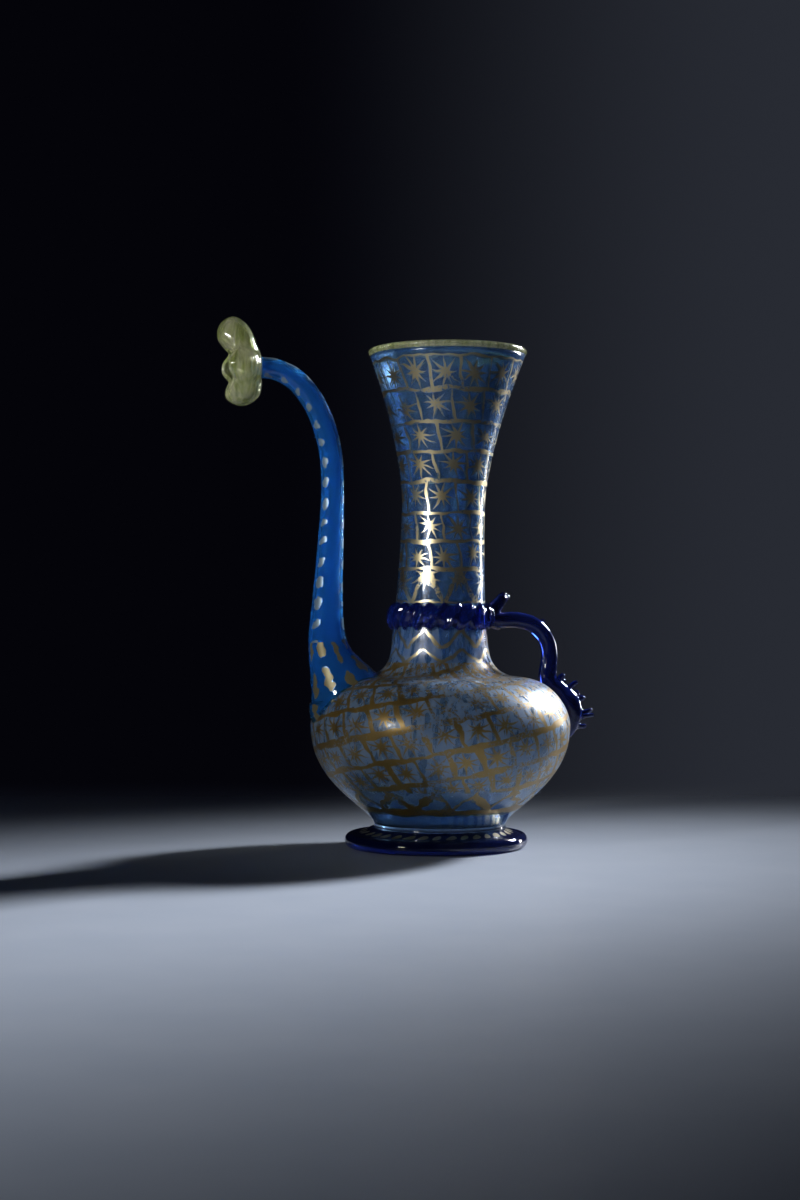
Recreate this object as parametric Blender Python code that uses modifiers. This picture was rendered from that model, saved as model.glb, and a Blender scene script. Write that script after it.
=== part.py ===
"""Hand-blown glass ewer: hollow body and neck, foot, S-curved spout, looped handle, trailed collar and lip.

Metres, +Z up. The origin is the middle of the foot's underside. The spout points to -X, the handle to +X.
"""

import math

import bmesh
import bpy
import numpy as np
from mathutils import Vector

# Fits and fineness
CLEARANCE = 0.0003
WELD = 0.00001
SIDES_TURNED = 44
SIDES_TUBE = 14
SIDES_ROD = 10

# Foot pad
FOOT_R = 0.0440
FOOT_H = 0.0091
FOOT_EDGE_H = 0.0066
FOOT_WAIST_GROWTH = 0.0006

# Body and neck, outside radii and the heights that they stand at
WALL = 0.0020
SEAT_R = 0.0319
BELLY_R = 0.0623
BELLY_Z = 0.0580
SHOULDER_R = 0.0386
SHOULDER_Z = 0.0811
NECK_R = 0.0227
NECK_Z = 0.1010
WAIST_R = 0.0199
WAIST_Z = 0.1630
LIP_R = 0.0372
LIP_Z = 0.2353
BODY_SET_OFF = 0.0020
NECK_LEAN = math.radians(1.6)

# Thread of glass laid on the rim
THREAD_HALF_WIDTH = 0.0017
THREAD_H = 0.0026

# Twisted trail round the lower neck
COLLAR_Z = 0.1103
COLLAR_H = 0.0112
COLLAR_PROUD = 0.0032
COLLAR_STRANDS = 20
COLLAR_TWIST_DEPTH = 0.0007

# Spout
SPOUT_WALL = 0.0016
SPOUT_R = 0.00545
SPOUT_LOW_R = 0.0071
SPOUT_ROOT_R = 0.0185
SPOUT_INSET = 0.0117
SPOUT_SPREAD = 0.0060
SPOUT_TOP_Z = 0.2274
SPOUT_END_X = 0.0854
SPOUT_HOLE_R = 0.0080
SPOUT_HOLE_Z = 0.0755

# Spout mouth, a flower of four pinched lobes
MOUTH_H = 0.0402
MOUTH_WALL = 0.0018

# Handle
HANDLE_R = 0.0040
HANDLE_DROP = 0.0019
HANDLE_Z = COLLAR_Z - HANDLE_DROP
HANDLE_REACH = 0.0568
HANDLE_BEND_R = 0.0167
THUMB_R = 0.0029
THUMB_RISE = 0.0118
TAIL_R = 0.0046
TAIL_INSET = 0.0053
TAIL_DROP = 0.0245
FIN_REACH = 0.0148
FIN_COUNT = 5


# Collections and finishes

def remove_scene_objects():
    """Empty the scene before modelling."""
    for obj in list(bpy.data.objects):
        bpy.data.objects.remove(obj, do_unlink=True)


def new_collection(name):
    """Make a collection and link it to the scene."""
    collection = bpy.data.collections.new(name)
    bpy.context.scene.collection.children.link(collection)
    return collection


def glass(name, colour, roughness=0.08):
    """Coloured glass, see-through."""
    material = bpy.data.materials.new(name)
    material.use_nodes = True
    shader = material.node_tree.nodes["Principled BSDF"]
    shader.inputs["Base Color"].default_value = (*colour, 1.0)
    shader.inputs["Roughness"].default_value = roughness
    shader.inputs["Metallic"].default_value = 0.0
    shader.inputs["IOR"].default_value = 1.5
    shader.inputs["Transmission Weight"].default_value = 0.85
    return material


# Curves and outlines

def bezier(start, start_pull, end_pull, end, steps):
    """Points of one cubic curve, without its first point."""
    corners = [np.array(p, float) for p in (start, start_pull, end_pull, end)]
    points = []
    for t in np.linspace(0, 1, steps + 1)[1:]:
        weights = ((1 - t) ** 3, 3 * t * (1 - t) ** 2, 3 * t * t * (1 - t), t ** 3)
        points.append(sum(w * c for w, c in zip(weights, corners)))
    return points


def smooth_path(stations, steps):
    """A Catmull-Rom curve through stations, each a position with a radius after it."""
    rows = [np.array(s, float) for s in stations]
    rows = [2 * rows[0] - rows[1]] + rows + [2 * rows[-1] - rows[-2]]
    points = [rows[1]]
    for a, b, c, d in zip(rows, rows[1:], rows[2:], rows[3:]):
        for t in np.linspace(0, 1, steps + 1)[1:]:
            points.append(0.5 * (2 * b + (c - a) * t + (2 * a - 5 * b + 4 * c - d) * t * t
                                 + (3 * b - a - 3 * c + d) * t ** 3))
    return points


def knot(radius, height, degrees, pull_below, pull_above):
    """A point of the outline, with its direction and how far it pulls the curve below and above."""
    at = np.array((radius, height))
    way = np.array((math.cos(math.radians(degrees)), math.sin(math.radians(degrees))))
    return at - way * pull_below, at, at + way * pull_above


def body_outline(fineness=1):
    """The outside of the body and neck as radius and height, from the seat up to the rim."""
    seat_z = FOOT_H + CLEARANCE
    knots = [
        knot(SEAT_R, seat_z, 119, 0, 0.0081),
        knot(BELLY_R, BELLY_Z, 90, 0.0304, 0.0080),
        knot(SHOULDER_R, SHOULDER_Z, 176.7, 0.0160, 0.0169),
        knot(NECK_R, NECK_Z, 99.2, 0.0056, 0.0094),
        knot(WAIST_R, WAIST_Z, 90, 0.0120, 0.0140),
        knot(LIP_R, LIP_Z, 69, 0.0340, 0),
    ]
    steps = (6, 6, 6, 3, 8)
    points = [knots[0][1]]
    for (_, start, leave), (arrive, end, _), count in zip(knots, knots[1:], steps):
        points += bezier(start, leave, arrive, end, count * fineness)
    return points


FINE_OUTLINE = np.array(body_outline(4))


def outer_r(z):
    """Outside radius of the body or neck at a height."""
    return float(np.interp(z, FINE_OUTLINE[:, 1], FINE_OUTLINE[:, 0]))


def lean_x(z):
    """Where the middle of the body or neck is at a height: set off on the foot, then leaning."""
    return BODY_SET_OFF + max(0.0, z - NECK_Z) * math.tan(NECK_LEAN)


def outward(z):
    """The body's outward direction at a height, as radius and height."""
    step = 0.3 * WALL
    along = np.array((outer_r(z + step) - outer_r(z - step), 2 * step))
    along /= np.linalg.norm(along)
    return np.array((along[1], -along[0]))


def offset_outline(points, distance):
    """The outline moved along its own normal: inwards where distance is negative."""
    points = np.array(points)
    along = np.gradient(points, axis=0)
    along /= np.linalg.norm(along, axis=1)[:, None]
    return points + np.stack((along[:, 1], -along[:, 0]), axis=1) * distance


# Mesh makers

def bake(obj):
    """Turn an object's modifiers into its mesh."""
    graph = bpy.context.evaluated_depsgraph_get()
    mesh = bpy.data.meshes.new_from_object(obj.evaluated_get(graph))
    obj.modifiers.clear()
    obj.data = mesh


def clean(obj):
    """Weld doubled points and turn the faces outwards."""
    edit = bmesh.new()
    edit.from_mesh(obj.data)
    bmesh.ops.remove_doubles(edit, verts=edit.verts, dist=WELD)
    bmesh.ops.recalc_face_normals(edit, faces=edit.faces)
    edit.to_mesh(obj.data)
    edit.free()


def place(name, mesh, collection):
    """Make an object and put it in a collection."""
    obj = bpy.data.objects.new(name, mesh)
    collection.objects.link(obj)
    return obj


def turned(name, outline, collection, closed=False, leaning=False):
    """A solid of revolution about Z from radius and height points, leaning with the neck if asked."""
    edit = bmesh.new()
    verts = [edit.verts.new((r, 0, z)) for r, z in outline]
    pairs = list(zip(verts, verts[1:]))
    if closed:
        pairs.append((verts[-1], verts[0]))
    for pair in pairs:
        edit.edges.new(pair)
    mesh = bpy.data.meshes.new(name)
    edit.to_mesh(mesh)
    edit.free()
    obj = place(name, mesh, collection)
    screw = obj.modifiers.new("turn", "SCREW")
    screw.axis = "Z"
    screw.angle = math.tau
    screw.steps = SIDES_TURNED
    screw.render_steps = SIDES_TURNED
    screw.use_merge_vertices = True
    screw.merge_threshold = WELD
    bake(obj)
    clean(obj)
    if leaning:
        for vert in obj.data.vertices:
            vert.co.x += lean_x(vert.co.z)
    return obj


def rod(name, path, sides, collection, extra=0.0):
    """A round rod along points in the XZ plane, each x, z and radius, with extra added to the radius."""
    curve = bpy.data.curves.new(name, "CURVE")
    curve.dimensions = "3D"
    curve.bevel_depth = 1.0
    curve.bevel_resolution = (sides - 4) // 2
    curve.use_fill_caps = True
    spline = curve.splines.new("POLY")
    spline.points.add(len(path) - 1)
    for point, (x, z, radius) in zip(spline.points, path):
        point.co = (x, 0, z, 1)
        point.radius = radius + extra
    guide = bpy.data.objects.new(name, curve)
    collection.objects.link(guide)
    graph = bpy.context.evaluated_depsgraph_get()
    mesh = bpy.data.meshes.new_from_object(guide.evaluated_get(graph))
    matrix = guide.matrix_world.copy()
    bpy.data.objects.remove(guide, do_unlink=True)
    bpy.data.curves.remove(curve)
    obj = place(name, mesh, collection)
    obj.matrix_world = matrix
    clean(obj)
    return obj


def ring_of_sections(name, sections, collection):
    """A closed ring lofted through unlike sections, in triangles so that a grown copy has the same diagonals."""
    edit = bmesh.new()
    rings = [[edit.verts.new(p) for p in section] for section in sections]
    for a, b in zip(rings, rings[1:] + rings[:1]):
        for i in range(len(a)):
            j = (i + 1) % len(a)
            edit.faces.new((a[i], a[j], b[j]))
            edit.faces.new((a[i], b[j], b[i]))
    mesh = bpy.data.meshes.new(name)
    edit.to_mesh(mesh)
    edit.free()
    obj = place(name, mesh, collection)
    clean(obj)
    return obj


def cone(name, start, end, radius_start, radius_end, collection):
    """A short taper between two points."""
    start = Vector(start)
    way = Vector(end) - start
    edit = bmesh.new()
    bmesh.ops.create_cone(edit, cap_ends=True, segments=8, radius1=radius_start, radius2=radius_end,
                          depth=way.length)
    mesh = bpy.data.meshes.new(name)
    edit.to_mesh(mesh)
    edit.free()
    obj = place(name, mesh, collection)
    obj.rotation_mode = "QUATERNION"
    obj.rotation_quaternion = Vector((0, 0, 1)).rotation_difference(way)
    obj.location = start + way / 2
    return obj


def combine(obj, other, operation):
    """Join another solid to an object, or cut it away."""
    other.hide_render = True
    other.display_type = "WIRE"
    change = obj.modifiers.new(other.name, "BOOLEAN")
    change.operation = operation
    change.solver = "EXACT"
    change.use_self = True
    change.object = other


def finish(obj, material, sharp_degrees=40):
    """Give a part its material and round shading."""
    obj.data.materials.clear()
    obj.data.materials.append(material)
    obj.data.shade_smooth()
    obj.data.set_sharp_from_angle(angle=math.radians(sharp_degrees))


# Foot: a pad of glass tooled out to a thick rounded edge

def foot_outline():
    """From the middle of the seat out, down the splayed top, round the edge and back under."""
    top_r = SEAT_R + FOOT_WAIST_GROWTH
    edge_mid = FOOT_EDGE_H / 2
    edge_depth = FOOT_EDGE_H * 0.42
    points = [np.array((0, FOOT_H)), np.array((top_r, FOOT_H))]
    shelf = (FOOT_R - edge_depth, FOOT_EDGE_H)
    splay = shelf[0] - top_r
    points += bezier((top_r, FOOT_H), (top_r + 0.3 * splay, FOOT_EDGE_H + 0.2 * (FOOT_H - FOOT_EDGE_H)),
                     (shelf[0] - 0.4 * splay, FOOT_EDGE_H), shelf, 3)
    for degrees in (50, 15, -15, -50):
        angle = math.radians(degrees)
        radius = FOOT_R - edge_depth * (1 - math.cos(angle))
        points.append(np.array((radius, edge_mid * (1 + math.sin(angle)))))
    points.append(np.array((FOOT_R - edge_depth, 0)))
    points.append(np.array((0, 0)))
    return points


# Body: one bubble, hollow, with its neck

def body_section():
    """The whole wall: the floor inside, up the inside, over the rim, down the outside to the seat."""
    outside = body_outline()
    inside = offset_outline(body_outline(3), -WALL)
    floor_z = FOOT_H + CLEARANCE + WALL
    heights = [z for _, z in outside if floor_z + WALL / 2 < z < LIP_Z - WALL / 2]
    heights = [floor_z] + heights[::2] + [LIP_Z]
    points = [(0, floor_z)]
    points += [(float(np.interp(z, inside[:, 1], inside[:, 0])), z) for z in heights]
    points += [tuple(p) for p in reversed(outside)]
    points.append((0, FOOT_H + CLEARANCE))
    return points


def envelope_section():
    """The outside of the body and neck as a full solid, grown by the clearance."""
    outside = offset_outline(body_outline(), CLEARANCE)
    top_z = LIP_Z + CLEARANCE
    points = [(0, top_z)] + [tuple(p) for p in reversed(outside)]
    points.append((0, FOOT_H))
    return points


def body_hole(collection):
    """The round hole pierced through the wall under the spout."""
    z = SPOUT_HOLE_Z
    normal = outward(z)
    at = np.array((outer_r(z) - lean_x(z), z))
    reach = 3 * WALL
    inner = at - normal * reach
    outer = at + normal * reach
    return rod("spout_hole", [(-inner[0], inner[1], SPOUT_HOLE_R), (-outer[0], outer[1], SPOUT_HOLE_R)],
               SIDES_TUBE, collection)


# Thread laid on the rim

def thread_outline():
    """A flat-bottomed bead centred on the rim."""
    rim = offset_outline(body_outline(3), -WALL)
    middle = (LIP_R + float(np.interp(LIP_Z, rim[:, 1], rim[:, 0]))) / 2
    base = LIP_Z + CLEARANCE
    centre = base + 0.42 * THREAD_H
    points = []
    count = 7
    for i in range(count):
        angle = math.tau * (0.25 + i / count)
        height = centre + 0.58 * THREAD_H * math.sin(angle)
        points.append((middle + THREAD_HALF_WIDTH * math.cos(angle), max(base, height)))
    return points


# Collar: a trail of glass, twisted like rope and wound round the neck

def collar_sections(extra=0.0):
    """Sections round the neck, hugging it inside, with strands that cross the outside on a slant."""
    count = COLLAR_STRANDS * 4
    around = 8
    sections = []
    for i in range(count):
        turn = math.tau * i / count
        section = []
        for j in range(around):
            angle = math.tau * j / around
            twist = COLLAR_TWIST_DEPTH * math.cos(2 * angle - COLLAR_STRANDS * turn)
            z = COLLAR_Z + (COLLAR_H / 2 + extra + twist) * math.sin(angle)
            r = outer_r(z) + (COLLAR_PROUD + extra + twist) * math.cos(angle)
            r = max(r, outer_r(z) + CLEARANCE)
            section.append((r * math.cos(turn) + lean_x(z), r * math.sin(turn), z))
        sections.append(section)
    return sections


# Spout: an S-curved tube, trumpet-shaped where it sits on the shoulder

def spout_path(extra=0.0):
    """Middle of the spout from inside the shoulder up to the mouth, with its outside radius."""
    upright = -(BELLY_R - SPOUT_INSET)
    edge = upright - SPOUT_R - SPOUT_SPREAD
    span = SPOUT_TOP_Z - SHOULDER_Z
    end_x = -SPOUT_END_X

    def low(share, radius):
        """A station whose outer side stays on the spout's upright edge."""
        return edge + radius, SHOULDER_Z + share * span, radius

    stations = [
        (edge + SPOUT_ROOT_R * 1.12, BELLY_Z - SPOUT_ROOT_R * 0.11, SPOUT_ROOT_R * 0.88),
        (edge + SPOUT_ROOT_R * 1.05, BELLY_Z + SPOUT_ROOT_R * 0.38, SPOUT_ROOT_R),
        low(-0.055, SPOUT_ROOT_R * 0.98),
        low(-0.02, SPOUT_ROOT_R * 0.87),
        low(0.02, SPOUT_ROOT_R * 0.72),
        low(0.07, SPOUT_LOW_R + 0.55 * (SPOUT_ROOT_R * 0.72 - SPOUT_LOW_R)),
        low(0.14, SPOUT_LOW_R * 1.22),
        (upright - SPOUT_R * 0.42, SHOULDER_Z + 0.27 * span, SPOUT_LOW_R),
        (upright - SPOUT_R * 0.18, SHOULDER_Z + 0.43 * span, SPOUT_R + 0.45 * (SPOUT_LOW_R - SPOUT_R)),
        (upright, SHOULDER_Z + 0.60 * span, SPOUT_R),
        (upright - SPOUT_R * 0.22, SHOULDER_Z + 0.74 * span, SPOUT_R),
        (upright + 0.20 * (end_x - upright), SHOULDER_Z + 0.866 * span, SPOUT_R),
        (upright + 0.47 * (end_x - upright), SHOULDER_Z + 0.955 * span, SPOUT_R * 0.96),
        (upright + 0.76 * (end_x - upright), SPOUT_TOP_Z - SPOUT_R * 0.18, SPOUT_R * 0.93),
        (end_x, SPOUT_TOP_Z, SPOUT_R * 0.92),
    ]
    return [(x, z, radius + extra) for x, z, radius in smooth_path(stations, 2)]


def spout_bore():
    """The hollow of the spout, run past its end."""
    path = spout_path(-SPOUT_WALL)
    x, z, radius = path[-1]
    return path + [(x - 4 * SPOUT_WALL, z, radius)]


# Spout mouth: flared and pinched into four lobes, the top one curling over

MOUTH_TOP_SHARES = ((0.05, 0.24), (0.14, 0.45), (0.30, 0.565), (0.44, 0.49), (0.475, 0.34), (0.39, 0.21))
MOUTH_SIDE_SHARES = ((0.05, 0.20), (0.13, 0.28), (0.22, 0.33), (0.30, 0.33), (0.36, 0.31), (0.39, 0.27))
MOUTH_BOTTOM_SHARES = ((-0.01, 0.22), (0.03, 0.34), (0.16, 0.43), (0.29, 0.42), (0.37, 0.36), (0.38, 0.28))
MOUTH_NOTCH_SHARES = ((0.05, 0.19), (0.12, 0.26), (0.20, 0.29), (0.27, 0.28), (0.31, 0.25), (0.32, 0.21))


def mouth_sections():
    """Rings from the spout's end out to the edge, as shares of the mouth's height."""
    start = -SPOUT_END_X - CLEARANCE
    root = spout_path()[-1][2]
    around = 28
    angles = [math.tau * i / around for i in range(around)]
    rings = [[(start, root * math.cos(angle), SPOUT_TOP_Z + root * math.sin(angle)) for angle in angles]]
    side = smooth_path(MOUTH_SIDE_SHARES, 2)
    lobes = (side, smooth_path(MOUTH_TOP_SHARES, 2), side, smooth_path(MOUTH_BOTTOM_SHARES, 2))
    notch = smooth_path(MOUTH_NOTCH_SHARES, 2)
    for k in range(len(notch)):
        ring = []
        for i, angle in enumerate(angles):
            lobe = lobes[round(4 * i / around) % 4]
            share = math.cos(2 * angle) ** 2
            forward, out = notch[k] + share * (lobe[k] - notch[k])
            ring.append((start - forward * MOUTH_H, out * MOUTH_H * math.cos(angle),
                         SPOUT_TOP_Z + out * MOUTH_H * math.sin(angle)))
        rings.append(ring)
    return rings


def mouth(collection):
    """The mouth as an open flower with a wall."""
    edit = bmesh.new()
    rings = [[edit.verts.new(p) for p in ring] for ring in mouth_sections()]
    for a, b in zip(rings, rings[1:]):
        for i in range(len(a)):
            j = (i + 1) % len(a)
            edit.faces.new((a[i], a[j], b[j], b[i]))
    bmesh.ops.recalc_face_normals(edit, faces=edit.faces)
    mesh = bpy.data.meshes.new("spout_mouth")
    edit.to_mesh(mesh)
    edit.free()
    obj = place("spout_mouth", mesh, collection)
    wall = obj.modifiers.new("wall", "SOLIDIFY")
    wall.thickness = MOUTH_WALL
    wall.offset = 0.0
    bake(obj)
    clean(obj)
    cut_x = -SPOUT_END_X - CLEARANCE
    for vert in obj.data.vertices:
        vert.co.x = min(vert.co.x, cut_x)
    return obj


# Handle: a rod looped from the collar to the shoulder, with a thumb-piece and a crimped tail

def tail_point(z, radius):
    """A point of the tail, bedded on the belly."""
    at = np.array((outer_r(z) + lean_x(z), z)) + outward(z) * radius * 0.86
    return at[0], at[1], radius


TAIL_SHARES = (0.95, 0.97, 1.20, 1.12, 0.80, 0.42)
FIN_SHARES = (0.66, 0.85, 0.85, 1.0, 0.74)


def tail_height(share):
    """Height of a place along the tail, from where the loop lands on the upper belly to the tail's end."""
    upper = FINE_OUTLINE[(FINE_OUTLINE[:, 1] >= BELLY_Z) & (FINE_OUTLINE[:, 1] <= SHOULDER_Z)][::-1]
    landing_r = HANDLE_REACH - TAIL_INSET - BODY_SET_OFF
    top = float(np.interp(landing_r, upper[:, 0], upper[:, 1]))
    return top - TAIL_DROP * share


def handle_path():
    """Middle of the rod with its radius, from inside the collar to the end of the tail."""
    neck = outer_r(HANDLE_Z) + lean_x(HANDLE_Z)
    middle = np.array((HANDLE_REACH - HANDLE_BEND_R, HANDLE_Z - HANDLE_BEND_R))
    stations = [(neck - WALL, HANDLE_Z + 0.45 * HANDLE_R, HANDLE_R * 1.12),
                (neck + 0.45 * (middle[0] - neck), HANDLE_Z, HANDLE_R)]
    for degrees in (90, 60, 30, 0):
        angle = math.radians(degrees)
        bend = middle + HANDLE_BEND_R * np.array((math.cos(angle), math.sin(angle)))
        stations.append((bend[0], bend[1], HANDLE_R))
    for i, share in enumerate(TAIL_SHARES):
        stations.append(tail_point(tail_height(i / (len(TAIL_SHARES) - 1)), TAIL_R * share))
    return smooth_path(stations, 3)


def thumb_path():
    """The thumb-piece, pinched up and out from the root of the handle."""
    neck = outer_r(HANDLE_Z) + lean_x(HANDLE_Z)
    stations = [(neck + 0.14 * THUMB_RISE, HANDLE_Z + 0.09 * THUMB_RISE, THUMB_R * 1.60),
                (neck + 0.32 * THUMB_RISE, HANDLE_Z + 0.50 * THUMB_RISE, THUMB_R * 1.10),
                (neck + 0.61 * THUMB_RISE, HANDLE_Z + 0.84 * THUMB_RISE, THUMB_R * 0.80),
                (neck + 0.83 * THUMB_RISE, HANDLE_Z + 0.97 * THUMB_RISE, THUMB_R),
                (neck + 1.03 * THUMB_RISE, HANDLE_Z + 1.08 * THUMB_RISE, THUMB_R * 0.45)]
    return smooth_path(stations, 2)


def fins(collection):
    """The crimped tail's pinched-out points."""
    made = []
    for i, share in enumerate(FIN_SHARES):
        z = tail_height((i + 0.5) / FIN_COUNT)
        x, height, radius = tail_point(z, TAIL_R)
        tip = np.array((outer_r(z) + lean_x(z), z)) + outward(z) * FIN_REACH * share
        made.append(cone(f"fin_{i + 1}", (x, 0, height), (tip[0], 0, tip[1]), radius * 0.72, radius * 0.26,
                         collection))
    return made


def build():
    """Make every part of the ewer."""
    remove_scene_objects()
    parts = new_collection("ewer")
    cutters = new_collection("ewer_cutters")

    blue = glass("blue_glass", (0.03, 0.12, 0.35))
    dark = glass("dark_cobalt_glass", (0.01, 0.015, 0.09))
    bright = glass("cobalt_glass", (0.01, 0.07, 0.38))
    green = glass("green_glass", (0.35, 0.42, 0.16))

    foot = turned("foot", foot_outline(), parts)
    finish(foot, dark)

    body = turned("body", body_section(), parts, leaning=True)
    combine(body, body_hole(cutters), "DIFFERENCE")
    finish(body, blue)

    thread = turned("lip_thread", thread_outline(), parts, closed=True, leaning=True)
    finish(thread, green)

    collar = ring_of_sections("neck_collar", collar_sections(), parts)
    finish(collar, dark, 70)

    envelope = turned("body_envelope", envelope_section(), cutters, leaning=True)
    spout = rod("spout", spout_path(), SIDES_TUBE, parts)
    combine(spout, rod("spout_bore", spout_bore(), SIDES_TUBE, cutters), "DIFFERENCE")
    combine(spout, envelope, "DIFFERENCE")
    finish(spout, bright)

    finish(mouth(parts), green, 60)

    handle = rod("handle", handle_path(), SIDES_ROD, parts)
    combine(handle, rod("thumb_piece", thumb_path(), SIDES_ROD, cutters), "UNION")
    for fin in fins(cutters):
        combine(handle, fin, "UNION")
    combine(handle, envelope, "DIFFERENCE")
    combine(handle, ring_of_sections("collar_room", collar_sections(CLEARANCE), cutters), "DIFFERENCE")
    finish(handle, dark, 60)


build()
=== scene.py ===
"""Looks of a hand-blown blue glass ewer with painted gilding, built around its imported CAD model."""

import math

import bmesh
import bpy
import numpy as np
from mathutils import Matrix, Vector, noise


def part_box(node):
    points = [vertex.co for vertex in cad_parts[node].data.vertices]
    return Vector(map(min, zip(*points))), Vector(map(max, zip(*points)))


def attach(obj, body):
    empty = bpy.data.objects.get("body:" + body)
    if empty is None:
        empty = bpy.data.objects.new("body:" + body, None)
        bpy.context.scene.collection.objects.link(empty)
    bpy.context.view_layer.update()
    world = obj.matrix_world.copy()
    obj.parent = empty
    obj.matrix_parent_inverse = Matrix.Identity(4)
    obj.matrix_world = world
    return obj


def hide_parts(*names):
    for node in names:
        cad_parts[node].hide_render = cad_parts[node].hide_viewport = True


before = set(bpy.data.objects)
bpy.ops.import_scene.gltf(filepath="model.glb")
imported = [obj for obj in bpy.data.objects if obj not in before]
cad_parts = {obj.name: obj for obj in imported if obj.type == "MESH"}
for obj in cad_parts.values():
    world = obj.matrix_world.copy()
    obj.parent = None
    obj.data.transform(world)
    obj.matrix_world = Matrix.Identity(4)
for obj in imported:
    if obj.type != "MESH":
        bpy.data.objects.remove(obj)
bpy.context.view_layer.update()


# Body
# One bubble of see-through cobalt glass, blown and pulled out into the neck, then tooled on the pontil.
# Its gilding is fired paint: a lattice with a star in each cell. Weathering silvers the belly inside.

WALL = 0.0020
SEAT_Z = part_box("body")[0].z
RIM_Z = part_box("body")[1].z
SET_OFF = 0.0020
LEAN = math.radians(1.6)
# Where the outline bends: radius, height, its direction in degrees, and its pull below and above
BODY_KNOTS = (
    (0.0319, SEAT_Z, 119, 0, 0.0081),
    (0.0623, 0.0580, 90, 0.0304, 0.0080),
    (0.0386, 0.0811, 176.7, 0.0160, 0.0169),
    (0.0227, 0.1010, 99.2, 0.0056, 0.0094),
    (0.0199, 0.1630, 90, 0.0120, 0.0140),
    (0.0372, RIM_Z, 69, 0.0340, 0),
)
NECK_Z = BODY_KNOTS[3][1]
CURVE_OVER_CHORD = 1.1
FLOOR_DISH = 0.0016
# The blower's unevenness: how far it reaches, where its pattern starts, and its waves round and up the glass
BODY_WOBBLE = 0.00035
BODY_SEED = 3.1
WOBBLE_ROUND = 1.3
WOBBLES_A_METRE = 22


def bezier(start, start_pull, end_pull, end, steps):
    """Points of one cubic curve, without its first point."""
    corners = [np.array(p, float) for p in (start, start_pull, end_pull, end)]
    points = []
    for t in np.linspace(0, 1, steps + 1)[1:]:
        weights = ((1 - t) ** 3, 3 * t * (1 - t) ** 2, 3 * t * t * (1 - t), t ** 3)
        points.append(sum(w * c for w, c in zip(weights, corners)))
    return points


def body_outline(step):
    """The outside from the seat up to the rim as radius and height, with a point about every step."""
    bends = []
    for radius, height, degrees, below, above in BODY_KNOTS:
        at = np.array((radius, height))
        way = np.array((math.cos(math.radians(degrees)), math.sin(math.radians(degrees))))
        bends.append((at - way * below, at, at + way * above))
    points = [bends[0][1]]
    for (_, start, leave), (arrive, end, _) in zip(bends, bends[1:]):
        length = np.linalg.norm(end - start) * CURVE_OVER_CHORD
        points += bezier(start, leave, arrive, end, max(2, round(length / step)))
    return np.array(points)


fine_outline = body_outline(0.0004)
fine_length = np.concatenate(([0], np.cumsum(np.linalg.norm(np.diff(fine_outline, axis=0), axis=1))))


def outer_r(z):
    """Outside radius of the body or neck at a height."""
    return float(np.interp(z, fine_outline[:, 1], fine_outline[:, 0]))


def lean_x(z):
    """Where the middle of the body or neck is at a height: set off on the foot, then leaning."""
    return SET_OFF + max(0.0, z - NECK_Z) * math.tan(LEAN)


def outward(z):
    """The body's outward direction at a height, as radius and height."""
    along = np.array((outer_r(z + WALL / 3) - outer_r(z - WALL / 3), WALL / 1.5))
    along /= np.linalg.norm(along)
    return np.array((along[1], -along[0]))


def offset_outline(points, distance):
    """An outline moved along its own normal: inwards where distance is negative."""
    along = np.gradient(points, axis=0)
    along /= np.linalg.norm(along, axis=1)[:, None]
    return points + np.stack((along[:, 1], -along[:, 0]), axis=1) * distance


def hand_wobble(turn, z, size, seed):
    """The slow unevenness that tools leave on turned hot glass."""
    at = Vector((math.cos(turn) * WOBBLE_ROUND + seed, math.sin(turn) * WOBBLE_ROUND, z * WOBBLES_A_METRE))
    return size * noise.noise(at)


def around(sides):
    """The turns of a ring's points, in radians."""
    return [math.tau * i / sides for i in range(sides)]


def loft(name, rings, wrap=False, close_ends=(), uv=None, material_of=None):
    """A mesh through rings of points, with its texture coordinates and material slots by ring and place.
    With wrap the last ring meets the first."""
    edit = bmesh.new()
    rows = [[edit.verts.new(p) for p in ring] for ring in rings]
    layers = {key: edit.loops.layers.uv.new(key) for key in (uv or {})}
    count = len(rings[0])
    for k, (a, b) in enumerate(zip(rows, rows[1:] + rows[:1] if wrap else rows[1:])):
        for i in range(count):
            j = (i + 1) % count
            face = edit.faces.new((a[i], a[j], b[j], b[i]))
            face.material_index = material_of(k) if material_of else 0
            for key, rule in (uv or {}).items():
                corners = ((i, k), (i + 1, k), (i + 1, k + 1), (i, k + 1))
                for corner, (place, ring) in zip(face.loops, corners):
                    corner[layers[key]].uv = rule(place / count, ring)
    for end in close_ends:
        face = edit.faces.new(rows[end])
        face.material_index = material_of(end) if material_of else 0
    bmesh.ops.recalc_face_normals(edit, faces=edit.faces)
    mesh = bpy.data.meshes.new(name)
    edit.to_mesh(mesh)
    edit.free()
    mesh.shade_smooth()
    obj = bpy.data.objects.new(name, mesh)
    bpy.context.scene.collection.objects.link(obj)
    return obj


def cut_away(obj, other):
    """Cut another closed mesh away from an object, and drop the other."""
    cut = obj.modifiers.new(other.name, "BOOLEAN")
    cut.operation = "DIFFERENCE"
    cut.solver = "EXACT"
    cut.object = other
    graph = bpy.context.evaluated_depsgraph_get()
    mesh = bpy.data.meshes.new_from_object(obj.evaluated_get(graph))
    obj.modifiers.clear()
    obj.data = mesh
    bpy.data.objects.remove(other, do_unlink=True)


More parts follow.
